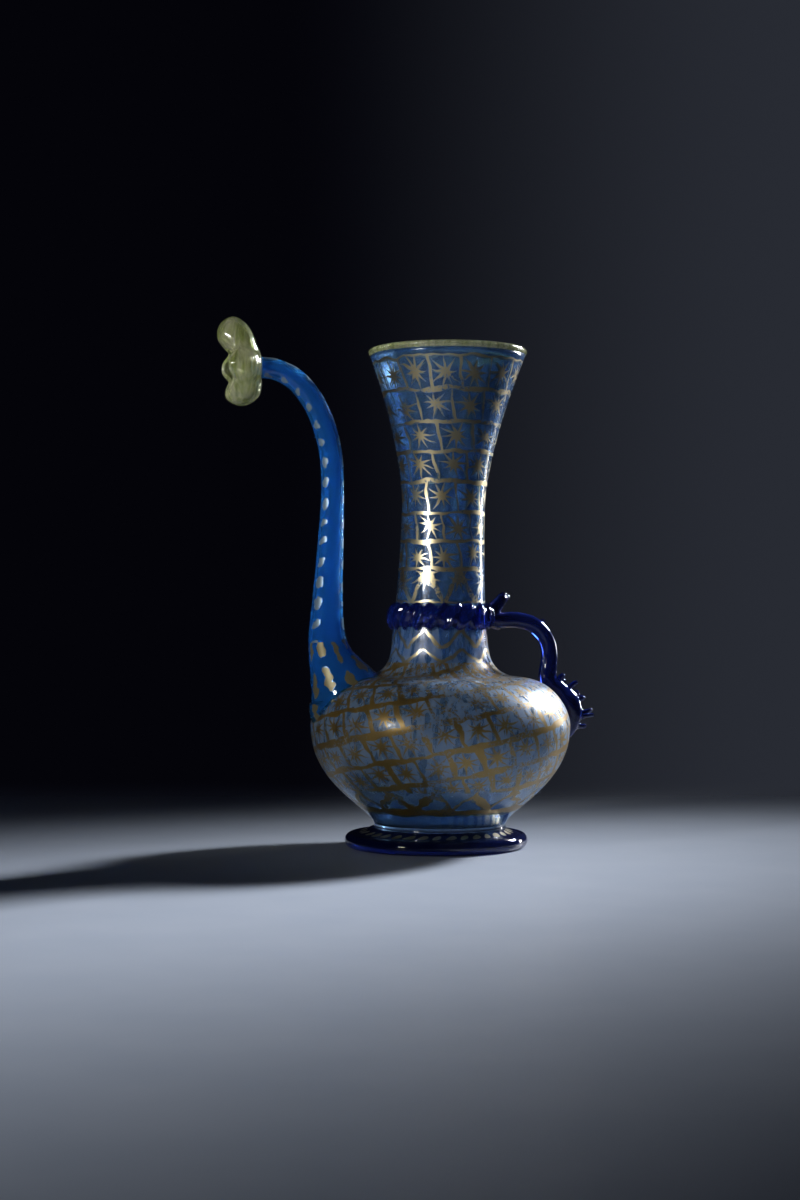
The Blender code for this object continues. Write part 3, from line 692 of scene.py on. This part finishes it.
def leafed_cobalt_glass():
    """Saturated cobalt glass, drawn into a tube and fire-polished, with dabs of gold up its sides.
    It gives the eye a bright pure blue wherever light comes through."""
    material, tree, shader = new_material("leafed_drawn_cobalt_glass")
    place = put(tree, "TexCoord").outputs["Object"]
    at = put(tree, "SeparateXYZ", (put(tree, "UVMap", uv_map="leaves"),))
    shake = hand_shake(tree, place, LEAF_TREMOR_MM, 0.5)
    # Lines of small leaves up the tube
    row = put(tree, "Math", (at.outputs[1], 1 / LEAF_STEP, shake.outputs[0]), operation="MULTIPLY_ADD")
    up = off_middle(tree, row)
    turn = put(tree, "Math", (at.outputs[0], LEAF_LINES, 0.825), operation="MULTIPLY_ADD")
    turn = put(tree, "Math", (shake.outputs[1], 0.16, turn), operation="MULTIPLY_ADD")
    side = off_middle(tree, turn)
    side = put(tree, "Math", (up, 0.10, side), operation="MULTIPLY_ADD")
    leaf = put(tree, "CombineXYZ", (put(tree, "Math", (side, 6.2), operation="MULTIPLY"),
                                    put(tree, "Math", (up, 4.2), operation="MULTIPLY")))
    leaf = put(tree, "VectorMath", (leaf,), operation="LENGTH").outputs["Value"]
    # Tall petals and dots round the flared root
    low = put(tree, "Math", (at.outputs[1], ROOT_LENGTH), operation="LESS_THAN")
    petal_turn = put(tree, "Math", (at.outputs[0], PETALS, shake.outputs[1]), operation="MULTIPLY_ADD")
    petal_number = put(tree, "Math", (petal_turn,), operation="FLOOR")
    petal_chance = put(tree, "TexWhiteNoise", {"W": petal_number}, noise_dimensions="1D")
    petal_side = off_middle(tree, petal_turn)
    petal_row = put(tree, "Math", (at.outputs[1], 1 / PETAL_STEP, petal_chance), operation="MULTIPLY_ADD")
    petal_up = off_middle(tree, petal_row)
    petal = put(tree, "CombineXYZ", (put(tree, "Math", (petal_side, 4.4), operation="MULTIPLY"),
                                     put(tree, "Math", (petal_up, 2.7), operation="MULTIPLY")))
    petal = put(tree, "VectorMath", (petal,), operation="LENGTH").outputs["Value"]
    far = put(tree, "Mix", {0: low, 2: leaf, 3: petal})
    gold = put(tree, "MapRange", {"Value": far, "From Min": 1.08, "From Max": 0.92})
    tone = put(tree, "Mix", {0: low, 6: srgb("#7f93a0"), 7: srgb("#857a55")}, data_type="RGBA")
    colour = put(tree, "Mix", {0: gold, 6: srgb("#4db4ff"), 7: tone.outputs[2]}, data_type="RGBA")
    metal = put(tree, "Math", (gold, 0.35), operation="MULTIPLY")
    rough = put(tree, "MapRange", {"Value": gold, "To Min": 0.04, "To Max": 0.4})
    clear = put(tree, "MapRange", {"Value": gold, "To Min": 0.94, "To Max": 0.25})
    ripple = put(tree, "TexNoise", {"Vector": place, "Scale": 1000 / DRAWN_RIPPLE_MM, "Detail": 2.0})
    bump = put(tree, "Bump", {"Height": ripple, "Strength": 0.25, "Distance": 0.0005})
    feed(tree, shader, {"Base Color": colour.outputs[2], "Metallic": metal, "Roughness": rough,
                        "Transmission Weight": clear, "IOR": GLASS_IOR, "Normal": bump})
    return material


def bore_glass():
    """The spout's glass seen from inside, dulled by what was poured through it, so that it spreads light."""
    material, tree, shader = new_material("dulled_cobalt_glass_bore")
    feed(tree, shader, {"Base Color": srgb("#5cbcff"), "Roughness": 0.6, "Transmission Weight": 0.8,
                        "IOR": GLASS_IOR})
    return material


spout_looks = leafed_cobalt_glass(), bore_glass()
for piece in (spout, bore):
    for look in spout_looks:
        piece.data.materials.append(look)
cut_away(spout, bore)
# The root is sunk a little into the shoulder, because the hot glass fused there
cut_away(spout, envelope("shoulder", -0.0003))
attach(spout, "root")
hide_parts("spout")


# Spout mouth
# A separate gather of yellow-green glass, opened out and pinched into a flower of four lobes.
# The top lobe is the largest and curls forward over the opening.

MOUTH_H = 0.0402
MOUTH_WALL = 0.0018
MOUTH_SIDES = 96
DRAWN_STREAK_MM = 2.0833, 20
# Each lobe and the notch between two, from the seam out to the lip: shares of the height forward and out
MOUTH_TOP = ((0.05, 0.24), (0.14, 0.45), (0.30, 0.565), (0.44, 0.49), (0.475, 0.34), (0.39, 0.21))
MOUTH_SIDE = ((0.05, 0.20), (0.13, 0.28), (0.22, 0.33), (0.30, 0.33), (0.36, 0.31), (0.39, 0.27))
MOUTH_BOTTOM = ((-0.01, 0.22), (0.03, 0.34), (0.16, 0.43), (0.29, 0.42), (0.37, 0.36), (0.38, 0.28))
MOUTH_NOTCH = ((0.05, 0.19), (0.12, 0.26), (0.20, 0.29), (0.27, 0.28), (0.31, 0.25), (0.32, 0.21))

side_lobe = smooth_path(MOUTH_SIDE, 6)
lobes = (side_lobe, smooth_path(MOUTH_TOP, 6), side_lobe, smooth_path(MOUTH_BOTTOM, 6))
notch = smooth_path(MOUTH_NOTCH, 6)
seam_r = SPOUT_R * 0.92
mouth_rings = [[(SPOUT_END_X + 0.0004, seam_r * math.cos(turn), SPOUT_TOP_Z + seam_r * math.sin(turn))
                for turn in around(MOUTH_SIDES)]]
for k in range(len(notch)):
    ring = []
    for i, angle in enumerate(around(MOUTH_SIDES)):
        lobe = lobes[round(4 * i / MOUTH_SIDES) % 4]
        share = math.cos(2 * angle) ** 2
        forward, out = notch[k] + share * (lobe[k] - notch[k])
        ring.append((SPOUT_END_X - forward * MOUTH_H, out * MOUTH_H * math.cos(angle),
                     SPOUT_TOP_Z + out * MOUTH_H * math.sin(angle)))
    mouth_rings.append(ring)
mouth = loft("glass_spout_mouth", mouth_rings)
wall = mouth.modifiers.new("wall", "SOLIDIFY")
wall.thickness = MOUTH_WALL
wall.offset = 0.0
rounding = mouth.modifiers.new("rounding", "SUBSURF")
rounding.levels = 1
rounding.render_levels = 1


def green_glass(name):
    """Soda glass left its own yellow-green by iron in the sand, tooled hot and fire-polished.
    It gives the eye a pale olive body with drawn streaks of clearer glass, under sharp highlights."""
    material, tree, shader = new_material(name)
    place = put(tree, "TexCoord").outputs["Object"]
    streak = put(tree, "Mapping", {"Vector": place, "Scale": spacing(*DRAWN_STREAK_MM)})
    streak = put(tree, "TexNoise", {"Vector": streak, "Scale": 1.0, "Detail": 3.0})
    drawn = put(tree, "MapRange", {"Value": streak, "From Min": 0.36, "From Max": 0.56})
    colour = put(tree, "Mix", {0: drawn, 6: srgb("#bac678"), 7: srgb("#fcfcd6")}, data_type="RGBA")
    bump = put(tree, "Bump", {"Height": streak, "Strength": 0.45, "Distance": 0.0008})
    feed(tree, shader, {"Base Color": colour.outputs[2], "Roughness": 0.10, "Transmission Weight": 0.78,
                        "IOR": GLASS_IOR, "Normal": bump})
    return material


mouth.data.materials.append(green_glass("tooled_green_glass"))
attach(mouth, "root")
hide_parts("spout_mouth")


# Collar
# A trail of dark cobalt glass, twisted like rope while hot and wound once round the foot of the neck.

COLLAR_Z = 0.1103
COLLAR_H = 0.0112
COLLAR_PROUD = 0.0032
COLLAR_STRANDS = 20
COLLAR_TWIST_DEPTH = 0.0008

collar_rings = []
for turn in around(COLLAR_STRANDS * 16):
    ring = []
    for angle in around(36):
        wave = 2 * angle - COLLAR_STRANDS * turn
        twist = COLLAR_TWIST_DEPTH * (math.cos(wave) + 0.25 * math.cos(2 * wave))
        z = COLLAR_Z + (COLLAR_H / 2 + twist) * math.sin(angle)
        r = outer_r(z) + (COLLAR_PROUD + twist) * math.cos(angle)
        r = max(r, outer_r(z) - 0.0005)
        ring.append((r * math.cos(turn) + lean_x(z), r * math.sin(turn), z))
    collar_rings.append(ring)
collar = loft("glass_neck_collar", collar_rings, wrap=True)
collar.data.materials.append(dark_cobalt_glass("trailed_dark_cobalt_glass"))
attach(collar, "root")
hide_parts("neck_collar")


# Handle
# One gather of dark cobalt glass: dropped on at the collar, pinched up into a thumb-piece, looped down to the
# shoulder and drawn on down the belly, where pincers crimped it into points.

HANDLE_R = 0.0040
HANDLE_Z = COLLAR_Z - 0.0019
HANDLE_REACH = 0.0568
HANDLE_BEND_R = 0.0167
THUMB_RISE = 0.0118
# The thumb-piece from root to tip: shares of its rise outwards and up, and its radius
THUMB = ((0.14, 0.09, 0.0052), (0.36, 0.42, 0.0038), (0.60, 0.70, 0.0029), (0.79, 0.92, 0.0027),
         (0.85, 0.99, 0.0018))
TAIL_R = 0.0046
TAIL_TOP_Z = 0.0765
TAIL_END_Z = 0.0520
# Share of the tail's radius that its middle stands off the belly
TAIL_BED = 0.86
TAIL_SWELL = (0.95, 0.97, 1.20, 1.12, 0.80, 0.42)
# The pinched points: share of the way down the tail, reach from the belly, tip's radius, and sideways
POINTS = ((0.00, 0.0099, 0.0014, 0.0010), (0.09, 0.0108, 0.0015, -0.0012), (0.15, 0.0098, 0.0014, 0.0010),
          (0.24, 0.0136, 0.0013, -0.0008), (0.36, 0.0120, 0.0016, 0.0008), (0.44, 0.0131, 0.0015, -0.0007),
          (0.62, 0.0157, 0.0011, 0.0012), (0.67, 0.0153, 0.0011, -0.0012), (0.80, 0.0116, 0.0012, 0.0006))

handle_root = outer_r(HANDLE_Z) + lean_x(HANDLE_Z)
bend_middle = np.array((HANDLE_REACH - HANDLE_BEND_R, HANDLE_Z - HANDLE_BEND_R))


def tail_point(z, radius):
    """A point of the tail, bedded on the belly."""
    at = np.array((outer_r(z) + lean_x(z), z)) + outward(z) * radius * TAIL_BED
    return at[0], at[1], radius


rod_stations = [(handle_root - WALL, HANDLE_Z + 0.45 * HANDLE_R, HANDLE_R * 1.12),
                (handle_root + 0.45 * (bend_middle[0] - handle_root), HANDLE_Z, HANDLE_R)]
for degrees in (90, 60, 30, 0):
    angle = math.radians(degrees)
    bend = bend_middle + HANDLE_BEND_R * np.array((math.cos(angle), math.sin(angle)))
    rod_stations.append((bend[0], bend[1], HANDLE_R))
for i, swell in enumerate(TAIL_SWELL):
    z = TAIL_TOP_Z + (TAIL_END_Z - TAIL_TOP_Z) * i / (len(TAIL_SWELL) - 1)
    rod_stations.append(tail_point(z, TAIL_R * swell))
thumb_stations = [(handle_root + along * THUMB_RISE, HANDLE_Z + rise * THUMB_RISE, radius)
                  for along, rise, radius in THUMB]


def taper(name, start, end, thick, tip, sideways=0.0):
    """A pinched-out point of glass with a round end, from a point in the XZ plane to another."""
    steps = np.array((0, 0.2, 0.4, 0.6, 0.8, 0.94, 1.0))
    radii = np.maximum(thick * (1 - steps) ** 1.3, tip) * np.array((1, 1, 1, 1, 1, 0.9, 0.45))
    path = np.column_stack([start[k] + (end[k] - start[k]) * steps for k in (0, 1)] + [radii])
    rings = [[(x, y + sideways * share, z) for x, y, z in ring]
             for ring, share in zip(tube_rings(path, 16), steps)]
    return loft(name, rings, close_ends=(0, -1))


handle = loft("glass_handle", tube_rings(smooth_path(rod_stations, 8), 24), close_ends=(0, -1))
pinched = [loft("thumb_piece", tube_rings(smooth_path(thumb_stations, 6), 20), close_ends=(0, -1))]
thumb_end = np.array(thumb_stations[-2][:2])
for i, way in enumerate(((0.0003, 0.0026), (0.0031, 0.0004))):
    pinched.append(taper(f"thumb_tip_{i + 1}", thumb_end, thumb_end + way, 0.0021, 0.0014))
pinched.append(taper("root_swelling", (handle_root + 0.0040, HANDLE_Z - 0.0004),
                     (handle_root + 0.0085, HANDLE_Z - 0.0019), 0.0040, 0.0036))
bead = bend_middle + (HANDLE_BEND_R + HANDLE_R) * np.array((0.64, 0.77))
pinched.append(taper("loop_bead", bead * 0.99, bead + (0.0008, 0.0010), 0.0018, 0.0012))
for i, (share, reach, tip, sideways) in enumerate(POINTS):
    z = TAIL_TOP_Z + (TAIL_END_Z - TAIL_TOP_Z) * share
    surface = np.array((outer_r(z) + lean_x(z), z))
    start = surface + outward(z) * TAIL_R * TAIL_BED
    pinched.append(taper(f"point_{i + 1}", start, surface + outward(z) * reach, TAIL_R * 0.72, tip, sideways))
joined = bmesh.new()
for piece in [handle] + pinched:
    joined.from_mesh(piece.data)
joined.to_mesh(handle.data)
joined.free()
for piece in pinched:
    bpy.data.objects.remove(piece, do_unlink=True)
fused = handle.modifiers.new("fused", "REMESH")
fused.mode = "VOXEL"
fused.voxel_size = 0.00038
fused.use_smooth_shade = True
soft = handle.modifiers.new("soft", "SMOOTH")
soft.factor = 0.5
soft.iterations = 6
graph = bpy.context.evaluated_depsgraph_get()
fused_mesh = bpy.data.meshes.new_from_object(handle.evaluated_get(graph))
handle.modifiers.clear()
handle.data = fused_mesh
cut_away(handle, envelope("belly", -0.0004))
handle.data.shade_smooth()
handle.data.materials.clear()
handle.data.materials.append(dark_cobalt_glass("drawn_dark_cobalt_glass"))
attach(handle, "root")
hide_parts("handle")


# Lip thread
# A trail of the yellow-green glass laid round the rim and melted in to a smooth bead.

THREAD_HALF_WIDTH = 0.0017
thread_z = (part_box("lip_thread")[0].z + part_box("lip_thread")[1].z) / 2
thread_half_height = (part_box("lip_thread")[1].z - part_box("lip_thread")[0].z) / 2 + 0.0002
thread_rings = []
for turn in around(BODY_SIDES):
    swell = 1 + 0.10 * noise.noise(Vector((math.cos(turn) * 2, math.sin(turn) * 2, 5.0)))
    middle = rim_middle[0] + hand_wobble(turn, RIM_Z, BODY_WOBBLE, BODY_SEED)
    ring = []
    for angle in around(20):
        r = middle + THREAD_HALF_WIDTH * swell * math.cos(angle)
        ring.append((r * math.cos(turn) + lean_x(RIM_Z), r * math.sin(turn),
                     thread_z + thread_half_height * math.sin(angle) * (1.0 if angle < math.pi else 1.25)))
    thread_rings.append(ring)
thread = loft("glass_lip_thread", thread_rings, wrap=True)
thread.data.materials.append(green_glass("trailed_green_glass"))
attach(thread, "root")
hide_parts("lip_thread")


# Floor
# A plain pale table top with a slight sheen. A little way behind the ewer it turns see-through to the dark
# room:
# this is painted falloff of the key light's pool. It also fades out far off on every side.

TABLE_SIZE = 6.0
BOARD_GRAIN_MM = 33.333
# How far from the ewer the table fades: behind it, where the fade is painted falloff of light, and on every
# side
PAINTED_FALLOFF_BEHIND = 0.06, 0.38
FADE_FAR = 0.9, 2.6
VIEW_TURN = math.radians(13)
away = Vector((math.sin(VIEW_TURN), math.cos(VIEW_TURN), 0))
right = Vector((math.cos(VIEW_TURN), -math.sin(VIEW_TURN), 0))
bpy.ops.mesh.primitive_plane_add(size=TABLE_SIZE, location=(0, 0, 0))
table = bpy.context.object
table.name = "table_top"
finish, tree, shader = new_material("pale_satin_board")
place = put(tree, "TexCoord").outputs["Object"]
grain = put(tree, "TexNoise", {"Vector": place, "Scale": 1000 / BOARD_GRAIN_MM, "Detail": 3.0})
paint = put(tree, "Mix", {0: grain, 6: srgb("#bcc6d2"), 7: srgb("#c8d0da")}, data_type="RGBA")
# Painted falloff of light: the table turns see-through behind the ewer, where the key light's pool would end
behind = put(tree, "VectorMath", (place, tuple(away)), operation="DOT_PRODUCT").outputs["Value"]
behind = put(tree, "MapRange", {"Value": behind, "From Min": PAINTED_FALLOFF_BEHIND[0], "From Max": PAINTED_FALLOFF_BEHIND[1]},
             interpolation_type="SMOOTHSTEP")
far_off = put(tree, "VectorMath", (place,), operation="LENGTH").outputs["Value"]
far_off = put(tree, "MapRange", {"Value": far_off, "From Min": FADE_FAR[0], "From Max": FADE_FAR[1]},
              interpolation_type="SMOOTHSTEP")
gone = put(tree, "Math", (behind, far_off), operation="MAXIMUM")
seen = put(tree, "Math", (1.0, gone), operation="SUBTRACT")
feed(tree, shader, {"Base Color": paint.outputs[2], "Alpha": seen, "Roughness": 0.45,
                    "Specular IOR Level": 0.25})
table.data.materials.append(finish)


# Light and camera
# The ewer stands turned 13 degrees from the picture. A hooded key light is behind it on the right and throws
# the long shadow. A small lamp on the front left lights the gold, and a thin strip draws the right edges.

def seen_from_front(across, back, up):
    """A place given to the right of, behind and above the ewer as the camera sees it."""
    return right * across + away * back + Vector((0, 0, up))


def soft_light(name, place, target, width, tall, watts, tone, spread):
    """A flat soft light with a hood that holds its beam to a spread in degrees."""
    lamp = bpy.data.lights.new(name, "AREA")
    lamp.shape = "RECTANGLE"
    lamp.size = width
    lamp.size_y = tall
    lamp.energy = watts
    lamp.color = srgb(tone)[:3]
    lamp.spread = math.radians(spread)
    obj = bpy.data.objects.new(name, lamp)
    bpy.context.scene.collection.objects.link(obj)
    obj.location = seen_from_front(*place)
    obj.rotation_euler = (seen_from_front(*target) - obj.location).to_track_quat("-Z", "Y").to_euler()


soft_light("key_light", (0.80, 0.67, 0.62), (-0.15, -0.26, 0), 0.22, 0.22, 0.80, "#f2f5ff", 24)
soft_light("front_left_light", (-0.66, -0.70, 0.37), (-0.01, 0, 0.18), 0.15, 0.09, 0.11, "#ffffff", 24)
soft_light("rim_light", (0.55, 0.50, 0.22), (0, 0, 0.15), 0.03, 0.34, 0.042, "#ffffff", 25)

# The room: near black on the left, a soft grey wall far off on the right
world = bpy.data.worlds.new("dim_studio")
bpy.context.scene.world = world
world.use_nodes = True
room = world.node_tree
way = put(room, "VectorMath", (put(room, "TexCoord").outputs["Generated"], tuple(right)),
          operation="DOT_PRODUCT")
side = put(room, "MapRange", {"Value": way.outputs["Value"], "From Min": -0.06, "From Max": 0.20},
           interpolation_type="SMOOTHSTEP")
tone = put(room, "Mix", {0: side, 6: srgb("#040409"), 7: srgb("#282b33")}, data_type="RGBA")
feed(room, room.nodes["Background"], {"Color": tone.outputs[2]})

# The camera's place, and how many pixels of the tall frame its picture is lifted by
CAMERA_BACK = 0.96
CAMERA_LEFT = 0.0173
CAMERA_Z = 0.1128
FRAME_TALL = 1200
LIFT_PIXELS = 11
lens = bpy.data.cameras.new("camera")
lens.lens = 60
lens.sensor_width = 36
lens.shift_y = LIFT_PIXELS / FRAME_TALL
camera = bpy.data.objects.new("camera", lens)
bpy.context.scene.collection.objects.link(camera)
camera.location = Vector((0, 0, CAMERA_Z)) - CAMERA_BACK * away - CAMERA_LEFT * right
camera.rotation_euler = away.to_track_quat("-Z", "Y").to_euler()
bpy.context.scene.camera = camera
bpy.context.scene.view_settings.view_transform = "Standard"
